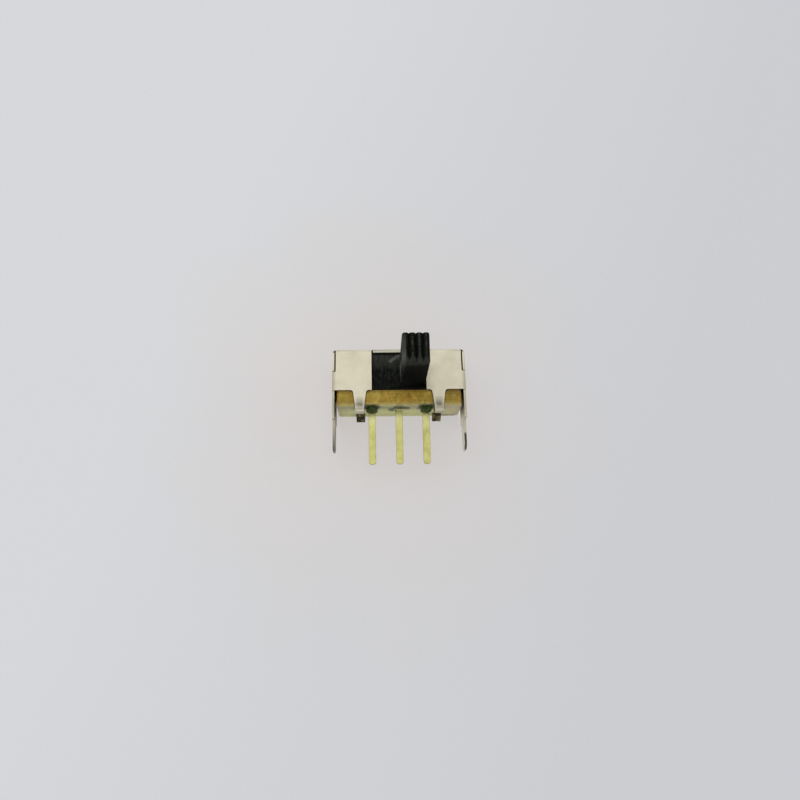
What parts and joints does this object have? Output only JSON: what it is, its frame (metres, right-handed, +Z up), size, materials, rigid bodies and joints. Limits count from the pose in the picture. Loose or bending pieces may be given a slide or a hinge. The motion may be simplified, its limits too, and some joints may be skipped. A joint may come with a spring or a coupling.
{
  "type": "slide switch",
  "caption": "Right-angle slide switch: plated folded frame crimped round a phenolic board with flat pins, and a long black ribbed knob that clicks from side to side.",
  "frame": {"origin": "on the centre pin's axis, in the plane where the frame's shoulders meet the circuit board", "axes": "+Z up away from the circuit board, +X along the knob's travel, -Y towards the knob's handle"},
  "size_m": [0.0122, 0.0106, 0.0104],
  "materials": {
    "plated_steel": "satin tin plate",
    "phenolic_board": "punched paper laminate",
    "pin_brass": "satin",
    "seal_resin": "cured resin",
    "black_plastic": "moulded, slightly worn",
    "spring_bronze": "rolled strip",
    "spring_steel": "bright"
  },
  "bodies": {
    "frame": {"frame_shell": "plated_steel", "terminal_board": "phenolic_board", "terminal_left": "pin_brass", "terminal_centre": "pin_brass", "terminal_right": "pin_brass", "seal_left": "seal_resin", "seal_centre": "seal_resin", "seal_right": "seal_resin"},
    "slider": {"slider_knob": "black_plastic", "wiper_contact": "spring_bronze", "detent_spring": "spring_steel"},
    "ball": {"detent_ball": "spring_steel"}
  },
  "joints": [
    {"name": "knob_slide", "type": "slide", "parent": "frame", "child": "slider", "axis": [1, 0, 0], "range_m": [-0.0025, 0]},
    {"name": "ball_click", "type": "slide", "parent": "slider", "child": "ball", "axis": [0, 0, -1], "range_m": [0, 0.00007], "stiffness_N_per_m": 20, "deforming": ["detent_spring"]}
  ]
}
